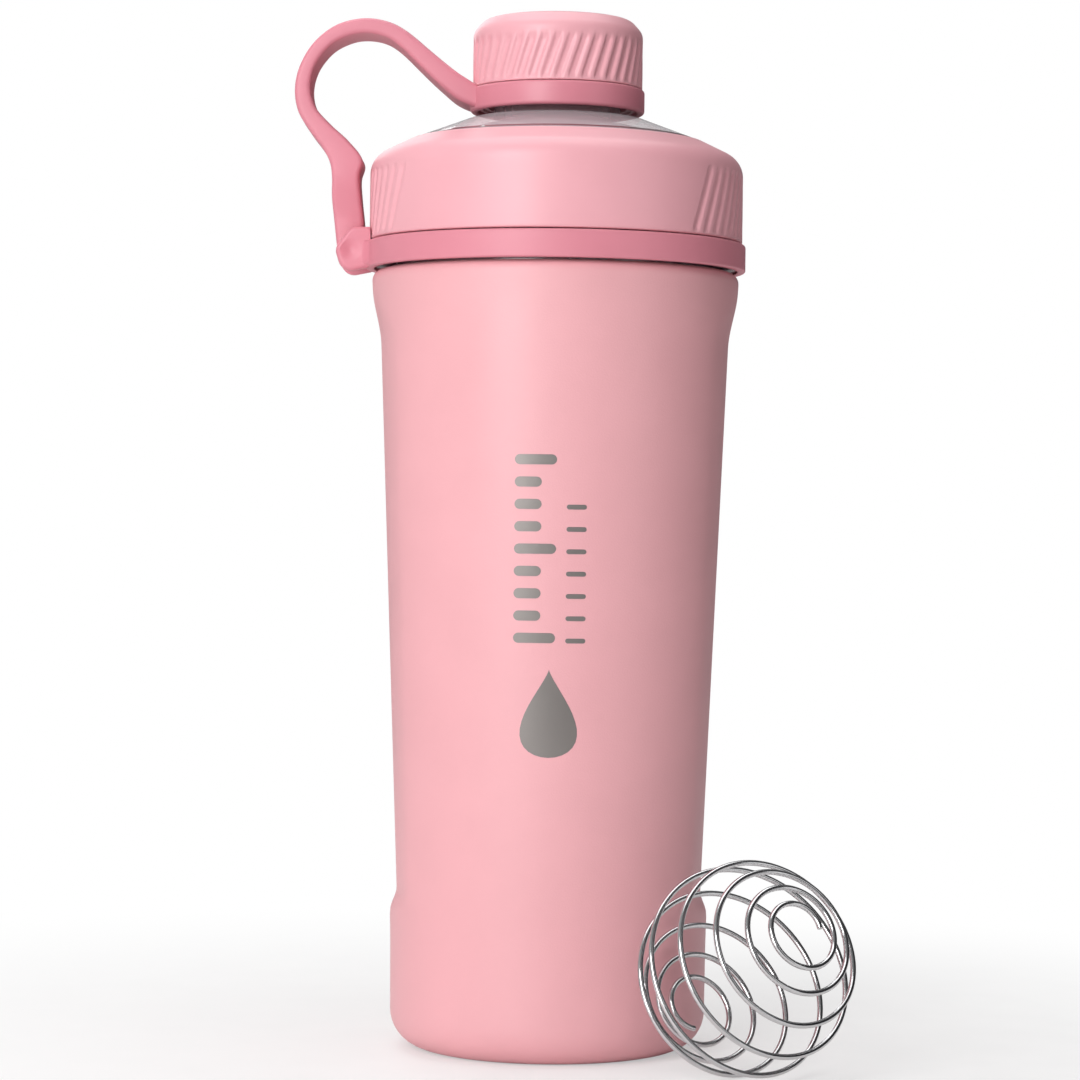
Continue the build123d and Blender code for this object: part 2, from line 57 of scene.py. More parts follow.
def box_mm(node):
    """Return a CAD node's lowest and highest corners in millimetres."""
    low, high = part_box(node)
    return low / MM, high / MM


SHELL_HIGH = box_mm("outer_shell")[1]
COLLAR_LOW, COLLAR_HIGH = box_mm("lid_collar")
CAP_LOW, CAP_HIGH = box_mm("spout_cap")
BALL_LOW, BALL_HIGH = box_mm("whisk_ball")

# Body: a cone between two levels, with a rounded foot and shoulder
BODY_TOP = SHELL_HIGH.z
BODY_WIDE_R = SHELL_HIGH.y
BODY_WIDE_Z = 181.3
BODY_NARROW_R = 37.5
BODY_NARROW_Z = 28.0
BODY_BEND_R = 300.0
SHOULDER_SPREAD = 0.08
SHOULDER_ROUND = 2.6
FOOT_R = 37.25
FOOT_INNER_R = 36.4
FOOT_ROUND = 8.8
WALL = 0.8
NECK_HOLE_R = 38.65
BOTTOM_HOLE_R = 26.5
BOTTOM_LIP_R = 27.3
BOTTOM_LIP_TOP = 2.4

# Grip panels: each is pressed in to a flatter arc between two levels
PANEL_DEPTH = 1.8
PANEL_CLEAR = 0.25
PANEL_CURVE_R = 59.0
PANEL_LOW = (31.0, 37.5)
PANEL_HIGH = (166.0, 181.5)
PANEL_CREASE = 0.35
PANEL_CREASE_TAIL = 0.1

# Etched mark, on the body's front
MARK_PROUD = 0.04
MARK_UNDERSIDE = 0.998
MARK_STEP = 0.6
MARK_RINGS = 6
BAR_LOW = 97.0
BAR_PITCH = 5.05
BAR_COUNT = 9
BAR_LEFT = -8.9
BAR_HEIGHT = 2.3
SHORT_BAR = 6.2
LONG_BAR = 9.6
LONG_BAR_EVERY = 4
TICK_COUNT = 7
TICK_LEFT = 3.0
TICK_RIGHT = 7.6
TICK_HEIGHT = 1.1
BAR_END_STEPS = 8
DROP_MIDDLE = -0.6
DROP_LOW = 71.0
DROP_HEIGHT = 20.0
DROP_HALF = 7.6
DROP_BELLY = 1.25
DROP_POINT = 1.6
DROP_STEPS = 36

# Clear lid
SKIRT_R = 42.2
SKIRT_BORE_R = 40.2
SKIRT_BOTTOM = 184.6
BEAD_R = 42.9
BEAD_HEIGHT = 0.4
LID_SHOULDER = ((SKIRT_R, 206.6, 2.0), (41.0, 209.3, 3.0), (38.4, 211.4, 3.0))
DOME_EDGE_R = 34.1
DOME_FOOT = 213.2
DOME_EDGE_TOP = 214.9
DOME_TOP_R = 20.5
DOME_TOP = 220.1
DOME_UNDERSIDE = ((19.0, 218.2, 6.0), (33.4, DOME_FOOT, 2.0))
SPOUT_R = 15.0
SPOUT_BORE_R = 12.6
SPOUT_ROOT = 220.5
SPOUT_BORE_LOW = 218.6
SPOUT_TOP = 238.5
PLUG_R = 36.9
PLUG_BORE_R = 35.4
PLUG_BORE_TOP = 210.8
PLUG_BOTTOM = 205.3
SEAT = 208.6

# Threads: two starts each; a negative depth stands inwards
THREAD_STARTS = (0.0, math.pi)
LID_THREAD = {
    "wall_r": SKIRT_BORE_R, "depth": -1.2, "root": 2.2, "crest": 1.1,
    "lead": 12.0, "height": 12.0, "bottom": 187.0,
}
SPOUT_THREAD = {
    "wall_r": SPOUT_R, "depth": 1.1, "root": 1.2, "crest": 0.6,
    "lead": 6.0, "height": 9.0, "bottom": 227.0,
}
THREAD_STEPS_PER_TURN = 72
THREAD_RUN_OUT_STEPS = 5
THREAD_LEAST_HEIGHT = 0.04
THREAD_SINK = 0.3

# Collar, with leaning ribs on its +X and -X sides
COLLAR_R = COLLAR_HIGH.x
COLLAR_BOTTOM = COLLAR_LOW.z
COLLAR_TOP = COLLAR_HIGH.z
COLLAR_SHOULDER_Z = 210.1
COLLAR_SHOULDER_ROUND = 5.8
COLLAR_LIP_R = 34.3
COLLAR_LIP_LOW = 213.4
COLLAR_FIT = 0.05
COLLAR_HEADROOM = 0.1
COLLAR_RIBS = 16
COLLAR_RIB_PITCH = math.radians(4.9)
COLLAR_RIB_FIRST = math.radians(-44.0)
COLLAR_RIB_LEAN = math.radians(7.6)
COLLAR_RIB_Z = (191.6, 207.0)
COLLAR_RIB_ENDS = (0.04, 0.93)
COLLAR_RIB_DEPTH = 0.5
COLLAR_RIB_REACH = 1.5
COLLAR_GROOVE = (0.10, 0.34)

# Spout cap
CAP_R = CAP_HIGH.x
CAP_TOP = CAP_HIGH.z
CAP_BOTTOM = CAP_LOW.z
CAP_CROWN_R = 17.4
CAP_CROWN_DROP = 0.35
CAP_ROUND_DROP = 3.4
CAP_NECK_R = 18.7
CAP_LEDGE = 227.3
CAP_INSIDE_R = 17.6
CAP_CEILING = 241.55
CAP_RIBS = 40
CAP_RIB_LEAN = math.radians(10.2)
CAP_RIB_Z = (228.05, 238.6)
CAP_RIB_ENDS = (0.05, 0.84)
CAP_RIB_DEPTH = 0.55
CAP_RIB_REACH = 0.6
CAP_GROOVE = (0.14, 0.40)

# Carry ring, and the knuckle on its -X side
RING_R = 45.1
RING_BORE_R = 42.3
RING_BAND = (184.1, 190.5)
RING_RELIEF_R = 43.1
RING_RELIEF_TOP = 185.4
KNUCKLE_CIRCLES = (
    (-48.9, 187.9, 3.0), (-48.3, 186.3, 3.1), (-47.0, 190.9, 2.7),
    (-44.3, 192.2, 1.4), (-44.3, 185.6, 1.6),
)
KNUCKLE_CIRCLE_STEPS = 56
KNUCKLE_STEP = 0.5
KNUCKLE_HALF_Y = 8.5
KNUCKLE_OVER_R = 44.55
KNUCKLE_UNDER_R = 44.9
KNUCKLE_OVERLAP = 0.1
SLOT_HALF_Y = 5.3
CHEEK_MIDDLE = Vector((-47.4, 188.3))
CHEEK_EDGE = 1.0
CHEEK_EDGE_STEPS = 8
CHEEK_SLOT_EDGE = 0.15
CHEEK_FACE_STEPS = 14
DISH_CENTRE = Vector((-48.4, 188.2))
DISH_R = 2.9
DISH_DEPTH = 0.7
# The web's outline from above is (x, y, corner radius), and its levels are (z, inset)
WEB_PLAN = (
    (-47.0, -6.0, 0.0), (-46.6, -8.1, 0.6), (-45.2, -8.55, 3.0),
    (-43.6, -10.9, 2.0), (-42.4, -13.6, 0.0), (-42.4, -6.0, 0.0),
)
WEB_LEVELS = (
    (184.45, 0.8), (184.65, 0.3), (185.1, 0.0), (189.7, 0.0), (190.2, 0.3), (190.4, 0.8),
)
WEB_SIDE_INSET = 0.6
ROOT_X = (-45.25, -43.0)
ROOT_Z = (184.9, 190.3)
ROOT_HALF_Y = 8.3
ROOT_EDGE = 0.6

# Carry loop: stations along the strap, as its outer and its inner edge in the XZ plane
STRAP = (
    ((-49.5, 185.6), (-47.9, 185.6)),
    ((-50.6, 186.1), (-46.8, 186.1)),
    ((-51.4, 187.0), (-46.0, 187.0)),
    ((-51.8, 188.6), (-45.5, 188.6)),
    ((-52.5, 194.6), (-45.6, 194.6)),
    ((-53.1, 200.5), (-46.3, 200.5)),
    ((-53.1, 205.5), (-46.7, 205.6)),
    ((-53.7, 209.0), (-46.0, 209.6)),
    ((-55.6, 212.5), (-49.3, 213.9)),
    ((-58.4, 216.2), (-53.6, 217.8)),
    ((-61.2, 220.7), (-57.2, 221.9)),
    ((-62.1, 226.0), (-58.4, 226.6)),
    ((-61.0, 231.5), (-57.3, 231.6)),
    ((-57.8, 237.0), (-54.2, 235.9)),
    ((-52.6, 241.2), (-50.6, 238.2)),
    ((-46.4, 242.9), (-46.5, 239.3)),
    ((-40.6, 242.3), (-41.7, 238.8)),
    ((-35.8, 240.0), (-37.7, 236.6)),
    ((-29.6, 235.0), (-32.4, 231.6)),
    ((-24.3, 230.6), (-27.8, 227.1)),
    ((-21.8, 228.6), (-24.3, 223.9)),
    ((-19.5, 226.8), (-20.1, 222.0)),
)
STRAP_HALF_Y = 7.6
STRAP_TAPER_Z = (195.0, 206.0)
STRAP_EDGE = 1.1
STRAP_EDGE_SHARE = 0.8
STRAP_EDGE_STEPS = 5
STRAP_END_R = 19.7
STRAP_END_FROM = 0.86
TANG_HALF_Y = 5.1
CAP_RING_R = 20.7
CAP_RING_BORE_R = 18.95
CAP_RING_BAND = (221.55, 227.15)

# Whisk ball: one wire, wound from pole to pole
BALL_CENTRE = (BALL_LOW + BALL_HIGH) / 2
BALL_R = 24.5
BALL_POLE = Vector((0.46, -0.75, 0.48)).normalized()
BALL_TURNS = 8.7
BALL_CROWDING = 0.4
END_LOOP_R = 5.3
WIRE_R = 0.65
WIRE_SIDES = 12

# How finely meshes are cut; a ribbed piece needs the most segments round it
FINE = 2
SMALL_SEGMENTS = 120 * FINE
PLAIN_SEGMENTS = 180 * FINE
BODY_SEGMENTS = 240 * FINE
CAP_SEGMENTS = 640 * FINE
COLLAR_SEGMENTS = 720 * FINE
STRAP_STEPS = 6 * FINE
WIRE_STEPS = 420 * FINE
BODY_STEP = 2.0 / FINE
RIBBED_STEP = 0.8

# ------------------------------------------------------------------ mesh helpers


def smooth_step(low, high, value):
    """Return 0 below low, 1 above high and a smooth ramp between them."""
    t = min(max((value - low) / (high - low), 0.0), 1.0)
    return t * t * (3 - 2 * t)


def new_mesh(name, points_mm, faces, sharp_deg=35.0):
    """Return a mesh object from points in millimetres, shaded smooth with sharp corners kept."""
    mesh = bpy.data.meshes.new(name)
    mesh.from_pydata([Vector(p) * MM for p in points_mm], [], faces)
    mesh.validate()
    shape = bmesh.new()
    shape.from_mesh(mesh)
    bmesh.ops.recalc_face_normals(shape, faces=shape.faces)
    shape.to_mesh(mesh)
    shape.free()
    mesh.shade_smooth()
    mesh.set_sharp_from_angle(angle=math.radians(sharp_deg))
    piece = bpy.data.objects.new(name, mesh)
    bpy.context.scene.collection.objects.link(piece)
    return piece


def round_corners(corners, closed=True, step_deg=9.0):
    """Return the points of an outline whose corners are (x, z, corner radius)."""
    points = []
    count = len(corners)
    for i, (x, z, radius) in enumerate(corners):
        here = Vector((x, z))
        if radius <= 0 or (not closed and i in (0, count - 1)):
            points.append(here)
            continue
        before = (Vector(corners[i - 1][:2]) - here).normalized()
        after = (Vector(corners[(i + 1) % count][:2]) - here).normalized()
        half = before.angle(after) / 2
        reach = radius / math.tan(half)
        centre = here + (before + after).normalized() * (radius / math.sin(half))
        start = here + before * reach - centre
        end = here + after * reach - centre
        sweep = start.angle_signed(end)
        steps = max(2, math.ceil(abs(math.degrees(sweep)) / step_deg))
        for k in range(steps + 1):
            turn = -sweep * k / steps
            points.append(centre + Matrix.Rotation(turn, 2) @ start)
    return points


def fill_in(points, longest, closed=True):
    """Return the points with more added so that no step is longer than `longest`."""
    filled = []
    count = len(points)
    for i in range(count if closed else count - 1):
        a, b = points[i], points[(i + 1) % count]
        steps = max(1, math.ceil((b - a).length / longest))
        filled += [a.lerp(b, k / steps) for k in range(steps)]
    if not closed:
        filled.append(points[-1])
    return filled


def turned(name, profile, segments, shape=None, closed=True):
    """Turn a profile round the Z axis. shape(angle, r, z) may return a changed radius."""
    points = []
    faces = []
    rows = []
    for p in profile:
        on_axis = p.x < 1e-6
        if on_axis:
            rows.append([len(points)] * segments)
            points.append((0.0, 0.0, p.y))
            continue
        rows.append(range(len(points), len(points) + segments))
        for s in range(segments):
            angle = 2 * math.pi * s / segments
            radius = shape(angle, p.x, p.y) if shape else p.x
            points.append((radius * math.cos(angle), radius * math.sin(angle), p.y))
    last = len(rows) if closed else len(rows) - 1
    for i in range(last):
        low, high = rows[i], rows[(i + 1) % len(rows)]
        for s in range(segments):
            t = (s + 1) % segments
            corner = dict.fromkeys((low[s], low[t], high[t], high[s]))
            if len(corner) > 2:
                faces.append(tuple(corner))
    return new_mesh(name, points, faces)


def section_tube(name, sections, sharp_deg=35.0):
    """Return a closed skin over a list of equal-length point loops, with flat ends."""
    points = [p for loop in sections for p in loop]
    side = len(sections[0])
    faces = []
    for i in range(len(sections) - 1):
        for s in range(side):
            t = (s + 1) % side
            faces.append((i * side + s, i * side + t, (i + 1) * side + t, (i + 1) * side + s))
    faces.append(tuple(reversed(range(side))))
    faces.append(tuple(range((len(sections) - 1) * side, len(sections) * side)))
    return new_mesh(name, points, faces, sharp_deg)


def join(name, pieces):
    """Join pieces into one object."""
    bpy.ops.object.select_all(action="DESELECT")
    for piece in pieces:
        piece.select_set(True)
    bpy.context.view_layer.objects.active = pieces[0]
    bpy.ops.object.join()
    pieces[0].name = name
    return pieces[0]


def place(piece, body, slot, material, *nodes):
    """Give a piece its body and material, and hide the CAD nodes it stands for; the slot is not
    used.
    """
    piece.data.materials.clear()
    piece.data.materials.append(material)
    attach(piece, body)
    if nodes:
        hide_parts(*nodes)


def rib_height(z, band, ends):
    """Return how far up its ribs a level is, and how much they stand there, each 0 to 1."""
    rise = (z - band[0]) / (band[1] - band[0])
    stands = smooth_step(0.0, ends[0], rise) * (1 - smooth_step(ends[1], 1.0, rise))
    return rise, stands


def groove_depth(ribs_along, edges):
    """Return 1 in the middle of the nearest groove, counted in ribs, and 0 on the rib beside."""
    return 1 - smooth_step(*edges, abs(ribs_along - round(ribs_along)))


# ------------------------------------------------------------------ materials

NOISE_SPAN = (0.3, 0.7)
GRAIN_DETAIL = 2.0
GRAIN_STRENGTH = 0.6
CLOUD_SCALE = 60.0
CLOUD_DETAIL = 4.0
CLOUD_TINT = 0.04
CLEAR_BLEND = 0.35
CLEAR_COVER = (0.20, 0.62)
CLEAR_IOR = 1.55
CLEAR_UNEVEN = 0.03
CLEAR_FLOW_SCALE = 90.0
CLEAR_FLOW_STRENGTH = 0.03
CLEAR_FLOW_DEPTH = 0.0002
# Painted shade: a thin dark band on the clear dome, just above the collar's top, where the dome's
# wall rises out of the collar
FOOT_SHADE_Z = (COLLAR_TOP + 0.25) * MM
FOOT_SHADE_HALF = 0.3 * MM
FOOT_SHADE_COLOUR = (0.14, 0.07, 0.08)
BODY_PINK = (0.80, 0.400, 0.432)
LID_PINK = (0.80, 0.390, 0.438)
LOOP_PINK = (0.68, 0.235, 0.295)


class Nodes:
    """A small helper that adds and links nodes in one tree."""

    def __init__(self, tree):
        self.tree = tree
        self.shader = tree.nodes.get("Principled BSDF")

    def add(self, kind, **values):
        """Add a node, and set its own settings and its inputs' values by name."""
        node = self.tree.nodes.new(kind)
        for key, value in values.items():
            if hasattr(node, key):
                setattr(node, key, value)
            else:
                node.inputs[key.replace("_", " ")].default_value = value
        return node

    def feed(self, value, target):
        """Link an output to an input, or set the input to a number or a colour."""
        if isinstance(value, bpy.types.NodeSocket):
            self.tree.links.new(value, target)
        elif isinstance(value, tuple):
            target.default_value = (*value, 1.0)
        else:
            target.default_value = value

    def noise(self, scale, detail):
        """Return a soft noise over the piece, about 0.3 to 0.7."""
        where = self.add("ShaderNodeTexCoord")
        noise = self.add("ShaderNodeTexNoise", Scale=scale, Detail=detail)
        self.feed(where.outputs["Object"], noise.inputs["Vector"])
        return noise.outputs["Fac"]

    def spread(self, value, span, low, high, **settings):
        """Map a value from the range span to the range low..high."""
        ramp = self.add("ShaderNodeMapRange", From_Min=span[0], From_Max=span[1],
                        To_Min=low, To_Max=high, **settings)
        self.feed(value, ramp.inputs["Value"])
        return ramp.outputs["Result"]

    def maths(self, operation, *values):
        """Return the result of one maths node fed with outputs and numbers."""
        node = self.add("ShaderNodeMath", operation=operation)
        for value, target in zip(values, node.inputs):
            self.feed(value, target)
        return node.outputs["Value"]

    def mix(self, value, low, high):
        """Return a colour that goes from low to high with a 0..1 value."""
        mix = self.add("ShaderNodeMix", data_type="RGBA")
        factor, low_colour, high_colour = (mix.inputs[i] for i in (0, 6, 7))
        self.feed(value, factor)
        self.feed(low, low_colour)
        self.feed(high, high_colour)
        return mix.outputs[2]

    def mix_shaders(self, value, low, high):
        """Return a shader that goes from low to high with a 0..1 value."""
        mix = self.add("ShaderNodeMixShader")
        for source, target in zip((value, low, high), mix.inputs):
            self.feed(source, target)
        return mix.outputs["Shader"]

    def bump(self, height, strength, distance):
        """Raise the surface by a texture of this distance in metres."""
        bump = self.add("ShaderNodeBump", Strength=strength, Distance=distance)
        self.feed(height, bump.inputs["Height"])
        self.feed(bump.outputs["Normal"], self.shader.inputs["Normal"])


def new_material(name):
    """Return a new material and the helper for its nodes."""
    material = bpy.data.materials.new(name)
    material.use_nodes = True
    return material, Nodes(material.node_tree)


def grained(name, colour, roughness, grain_scale, grain_depth, metallic=0.0, uneven=0.06):
    """Return an opaque finish with fine grain and a slightly uneven colour and gloss."""
    material, n = new_material(name)
    grain = n.noise(grain_scale, GRAIN_DETAIL)
    cloud = n.noise(CLOUD_SCALE, CLOUD_DETAIL)
    darker = tuple(c * (1 - CLOUD_TINT) for c in colour)
    lighter = tuple(min(c * (1 + CLOUD_TINT), 1.0) for c in colour)
    gloss = n.spread(cloud, NOISE_SPAN, roughness - uneven, roughness + uneven)
    n.feed(n.mix(cloud, darker, lighter), n.shader.inputs["Base Color"])
    n.feed(gloss, n.shader.inputs["Roughness"])
    n.feed(metallic, n.shader.inputs["Metallic"])
    n.bump(grain, GRAIN_STRENGTH, grain_depth)
    return material


def clear(name, pink_reflection, glancing, roughness):
    """Return clear thin-walled plastic: see-through face on, greyer and denser at a low angle.

    Face on it is tinted pink, a painted reflection of the pink collar and cap seen in the dome.
    A thin dark line of painted shade is drawn where the dome's wall rises out of the collar.
    """
    material, n = new_material(name)
    flow = n.noise(CLEAR_FLOW_SCALE, GRAIN_DETAIL)
    gloss = n.spread(flow, NOISE_SPAN, roughness, roughness + CLEAR_UNEVEN)
    # Face on, the colour is pink: a painted reflection of the pink collar and cap seen in the
    # dome
    facing = n.add("ShaderNodeLayerWeight", Blend=CLEAR_BLEND).outputs["Facing"]
    where = n.add("ShaderNodeTexCoord")
    split = n.add("ShaderNodeSeparateXYZ")
    n.feed(where.outputs["Object"], split.inputs["Vector"])
    # Painted shade: a thin dark opaque band at the dome's foot, just above the collar
    line = n.maths("COMPARE", split.outputs["Z"], FOOT_SHADE_Z, FOOT_SHADE_HALF)
    colour = n.mix(line, n.mix(facing, pink_reflection, glancing), FOOT_SHADE_COLOUR)
    cover = n.maths("MAXIMUM", n.spread(facing, (0.0, 1.0), *CLEAR_COVER), line)
    n.feed(gloss, n.shader.inputs["Roughness"])
    n.feed(colour, n.shader.inputs["Base Color"])
    n.feed(cover, n.shader.inputs["Alpha"])
    n.feed(CLEAR_IOR, n.shader.inputs["IOR"])
    n.bump(flow, CLEAR_FLOW_STRENGTH, CLEAR_FLOW_DEPTH)
    return material


powder_coat = grained(
    "powder_coat", BODY_PINK, roughness=0.42, grain_scale=2600.0, grain_depth=0.00005)
lid_plastic = grained(
    "lid_plastic", LID_PINK, roughness=0.40, grain_scale=5200.0, grain_depth=0.00001)
loop_plastic = grained(
    "loop_plastic", LOOP_PINK, roughness=0.44, grain_scale=4200.0, grain_depth=0.000008)
etched_grey = grained(
    "etched_grey", (0.235, 0.215, 0.205), roughness=0.38, grain_scale=5200.0,
    grain_depth=0.00002, metallic=0.5)
liner_steel = grained(
    "liner_steel", (0.62, 0.62, 0.63), roughness=0.24, grain_scale=1800.0,
    grain_depth=0.00001, metallic=1.0)
plain_steel = grained(
    "plain_steel", (0.52, 0.52, 0.53), roughness=0.34, grain_scale=2400.0,
    grain_depth=0.00002, metallic=1.0)
whisk_steel = grained(
    "whisk_steel", (0.66, 0.66, 0.67), roughness=0.14, grain_scale=900.0,
    grain_depth=0.000004, metallic=1.0, uneven=0.03)
silicone = grained(
    "silicone", (0.70, 0.70, 0.70), roughness=0.48, grain_scale=3000.0, grain_depth=0.00001)
# Its face-on pink is a painted reflection of the pink lid parts
clear_plastic = clear(
    "clear_plastic", pink_reflection=(0.86, 0.57, 0.62), glancing=(0.72, 0.72, 0.75), roughness=0.05)

# ------------------------------------------------------------------ bottle body


def body_radius(z):
    """Return the body's radius at height z before the grip panels are pressed in."""
    slope = (BODY_WIDE_R - BODY_NARROW_R) / (BODY_WIDE_Z - BODY_NARROW_Z)
    return BODY_NARROW_R + (z - BODY_NARROW_Z) * slope


def pressed_radius(angle, r, z):
    """Return the wall's radius with the flatter grip panels on its two sides."""
    if z < PANEL_LOW[0]:
        return r
    ramp = smooth_step(*PANEL_LOW, z) * (1 - smooth_step(*PANEL_HIGH, z))
    depth = PANEL_DEPTH * ramp - PANEL_CLEAR * (1 - ramp)
    side = abs(math.cos(angle))
    across = math.sin(angle)
    round_r = body_radius(z)
    offset = PANEL_CURVE_R - (round_r - depth)
    flat_r = math.sqrt(PANEL_CURVE_R**2 - (offset * across) ** 2) - offset * side
    gap = round_r - flat_r
    creased = (gap + math.sqrt(gap * gap + PANEL_CREASE**2)) / 2
    return r - max(creased - PANEL_CREASE * PANEL_CREASE_TAIL, 0.0)


def build_body():
    """Build the outer wall, from its bottom hole round the outside to its inner face."""
    outline = (
        (BOTTOM_HOLE_R, 0.0, 0.3),
        (FOOT_R, 0.0, FOOT_ROUND),
        (BODY_NARROW_R, BODY_NARROW_Z, BODY_BEND_R),
        (BODY_WIDE_R + SHOULDER_SPREAD, BODY_TOP, SHOULDER_ROUND),
        (NECK_HOLE_R, BODY_TOP, 0.2),
        (NECK_HOLE_R, BODY_TOP - WALL, 0.2),
        (BODY_WIDE_R - WALL, BODY_TOP - WALL, SHOULDER_ROUND - WALL),
        (BODY_NARROW_R - WALL, BODY_NARROW_Z, 0.0),
        (FOOT_INNER_R, WALL, FOOT_ROUND - WALL),
        (BOTTOM_LIP_R, WALL, 0.2),
        (BOTTOM_LIP_R, BOTTOM_LIP_TOP, 0.0),
        (BOTTOM_HOLE_R, BOTTOM_LIP_TOP, 0.0),
    )
    profile = fill_in(round_corners(outline), BODY_STEP)
    body = turned("body_wall", profile, BODY_SEGMENTS, pressed_radius)
    place(body, "bottle", "powder_coat", powder_coat, "outer_shell")


# ------------------------------------------------------------------ etched front mark


def on_body(across, z):
    """Return the point on the body's front, `across` mm to the right round its surface."""
    radius = body_radius(z) + MARK_PROUD
    angle = across / radius - math.pi / 2
    return (radius * math.cos(angle), radius * math.sin(angle), z)


def etched_patch(name, outline):
    """Return a thin closed patch with this outline of (across, z) points on the body."""
    outline = fill_in([Vector(p) for p in outline], MARK_STEP)
    centre = sum(outline, Vector((0, 0))) / len(outline)
    count = len(outline)
    top = [on_body(*centre)]
    for k in range(1, MARK_RINGS + 1):
        top += [on_body(*centre.lerp(p, k / MARK_RINGS)) for p in outline]
    size = len(top)
    base = [(x * MARK_UNDERSIDE, y * MARK_UNDERSIDE, z) for x, y, z in top]
    faces = []
    edge = []
    for s in range(count):
        t = (s + 1) % count
        faces.append((0, 1 + s, 1 + t))
        for k in range(MARK_RINGS - 1):
            low = 1 + k * count
            high = low + count
            faces.append((low + s, high + s, high + t, low + t))
        last = 1 + (MARK_RINGS - 1) * count
        edge.append((last + s, size + last + s, size + last + t, last + t))
    under = [tuple(size + i for i in reversed(face)) for face in faces]
    return new_mesh(name, top + base, faces + under + edge, sharp_deg=60.0)


def bar_outline(left, right, low, height):
    """Return the outline of a level bar with round ends."""
    half = height / 2
    points = []
    for centre, start in ((right - half, -math.pi / 2), (left + half, math.pi / 2)):
        for k in range(BAR_END_STEPS + 1):
            turn = start + math.pi * k / BAR_END_STEPS
            points.append((centre + half * math.cos(turn), low + half + half * math.sin(turn)))
    return points


def drop_outline():
    """Return the outline of a plain water drop with its point up."""
    points = []
    for k in range(DROP_STEPS):
        turn = 2 * math.pi * k / DROP_STEPS
        narrow = math.sin(turn / 2) ** DROP_POINT
        across = DROP_MIDDLE - DROP_HALF * DROP_BELLY * math.sin(turn) * narrow
        points.append((across, DROP_LOW + DROP_HEIGHT / 2 + DROP_HEIGHT / 2 * math.cos(turn)))
    return points


def build_mark():
    """Build a generic etched mark: two columns of plain bars like a fill scale, over a drop."""
    pieces = []
    for i in range(BAR_COUNT):
        low = BAR_LOW + i * BAR_PITCH
        right = BAR_LEFT + (SHORT_BAR if i % LONG_BAR_EVERY else LONG_BAR)
        pieces.append(etched_patch(f"bar_{i}", bar_outline(BAR_LEFT, right, low, BAR_HEIGHT)))
    for i in range(TICK_COUNT):
        low = BAR_LOW + i * BAR_PITCH
        tick = bar_outline(TICK_LEFT, TICK_RIGHT, low, TICK_HEIGHT)
        pieces.append(etched_patch(f"tick_{i}", tick))
    pieces.append(etched_patch("drop", drop_outline()))
    place(join("etched_mark", pieces), "bottle", "powder_coat", etched_grey)


# ------------------------------------------------------------------ lid collar


def collar_ribs(angle, r, z):
    """Return the collar's radius with leaning ribs on its two sides."""
    if r < COLLAR_R - COLLAR_RIB_REACH:
        return r
    rise, stands = rib_height(z, COLLAR_RIB_Z, COLLAR_RIB_ENDS)
    if stands <= 0:
        return r
    base = angle - COLLAR_RIB_LEAN * rise
    whole_turn = 2 * math.pi / COLLAR_RIB_PITCH
    for side in (0.0, math.pi):
        ribs_along = ((base - COLLAR_RIB_FIRST - side) / COLLAR_RIB_PITCH) % whole_turn
        if ribs_along > whole_turn - 0.5:
            ribs_along -= whole_turn
        if -0.5 < ribs_along < COLLAR_RIBS - 0.5:
            return r - COLLAR_RIB_DEPTH * groove_depth(ribs_along, COLLAR_GROOVE) * stands
    return r


def build_collar():
    """Build the opaque collar, whose inside follows the clear lid's shoulder."""
    outside = [
        (SKIRT_R + COLLAR_FIT, COLLAR_BOTTOM, 0.2),
        (COLLAR_R, COLLAR_BOTTOM, 0.5),
        (COLLAR_R, COLLAR_SHOULDER_Z, COLLAR_SHOULDER_ROUND),
        (COLLAR_LIP_R, COLLAR_TOP + COLLAR_HEADROOM, 0.6),
        (COLLAR_LIP_R, COLLAR_LIP_LOW, 0.2),
    ]
    inside = [(r + COLLAR_FIT, z + COLLAR_HEADROOM, 0.0) for r, z, _ in reversed(LID_SHOULDER)]
    profile = fill_in(round_corners(outside + inside, step_deg=5.0), RIBBED_STEP)
    collar = turned("grip_collar", profile, COLLAR_SEGMENTS, collar_ribs)
    place(collar, "lid", "collar_plastic", lid_plastic, "lid_collar")


# ------------------------------------------------------------------ clear lid


def thread_ridge(name, start, wall_r, depth, root, crest, lead, height, bottom):
    """Return one helical ridge whose two ends run down into the wall."""
    sections = []
    steps = math.ceil(height / lead * THREAD_STEPS_PER_TURN)
    sink = wall_r - math.copysign(THREAD_SINK, depth)
    for k in range(steps + 1):
        angle = start + 2 * math.pi * (height / lead) * k / steps
        z = bottom + height * k / steps
        swell = smooth_step(0, THREAD_RUN_OUT_STEPS, k)
        swell *= smooth_step(0, THREAD_RUN_OUT_STEPS, steps - k)
        tip = wall_r + depth * (THREAD_LEAST_HEIGHT + (1 - THREAD_LEAST_HEIGHT) * swell)
        corners = (
            (sink, -root / 2), (wall_r, -root / 2), (tip, -crest / 2),
            (tip, crest / 2), (wall_r, root / 2), (sink, root / 2),
        )
        sections.append(
            [(r * math.cos(angle), r * math.sin(angle), z + dz) for r, dz in corners]
        )
    return section_tube(name, sections)


